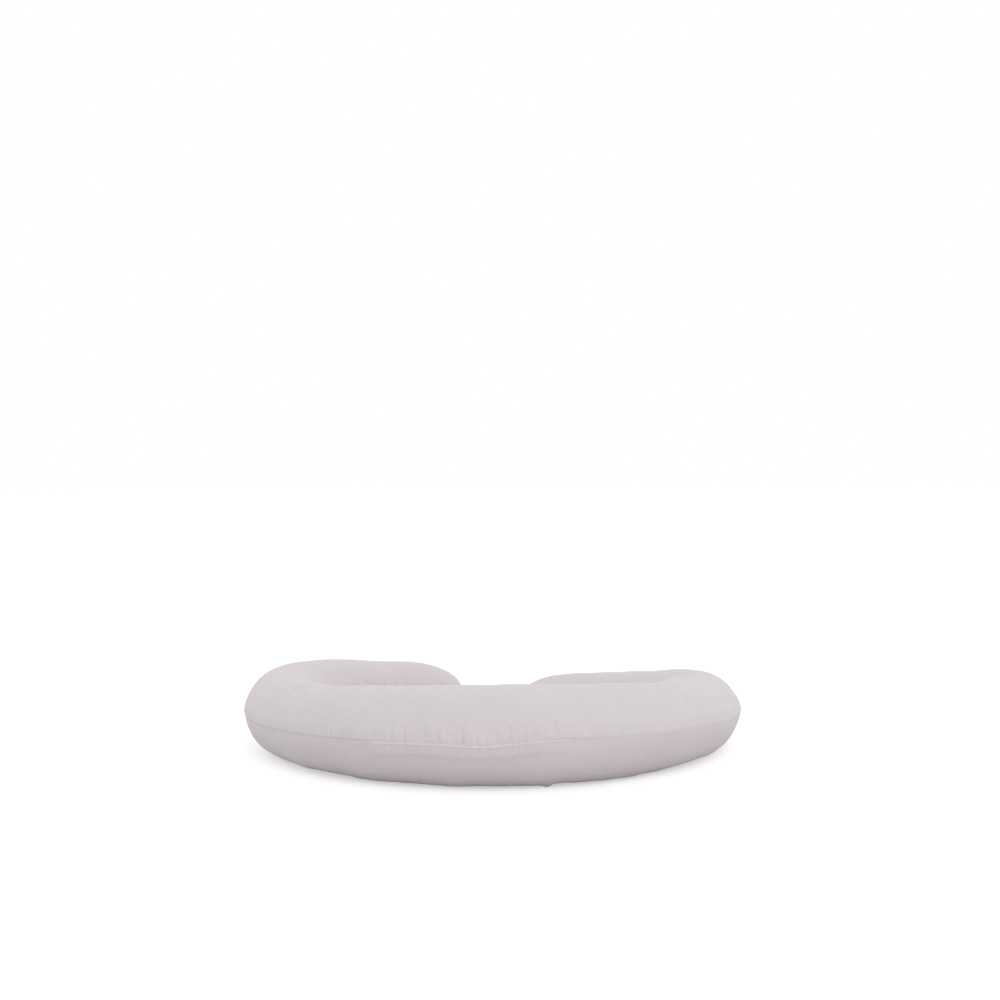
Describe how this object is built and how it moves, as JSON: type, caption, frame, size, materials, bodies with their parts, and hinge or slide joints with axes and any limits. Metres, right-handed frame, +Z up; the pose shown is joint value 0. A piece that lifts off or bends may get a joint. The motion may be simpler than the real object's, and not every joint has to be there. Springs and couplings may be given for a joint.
{
  "type": "bum roll",
  "caption": "Stuffed white cotton crescent worn round the hips under a historic skirt to hold it out, thick at the back and open at the front.",
  "frame": {"origin": "centre of the footprint, on the surface that the roll lies on", "axes": "+Z up, +Y towards the open side at the wearer's front, +X towards the wearer's right, with the thick middle of the back at -Y"},
  "size_m": [0.3848, 0.3168, 0.069],
  "materials": {
    "white_cotton": "matt plain-weave cotton"
  },
  "bodies": {
    "root": {"stuffed_roll": "white_cotton"}
  },
  "joints": []
}
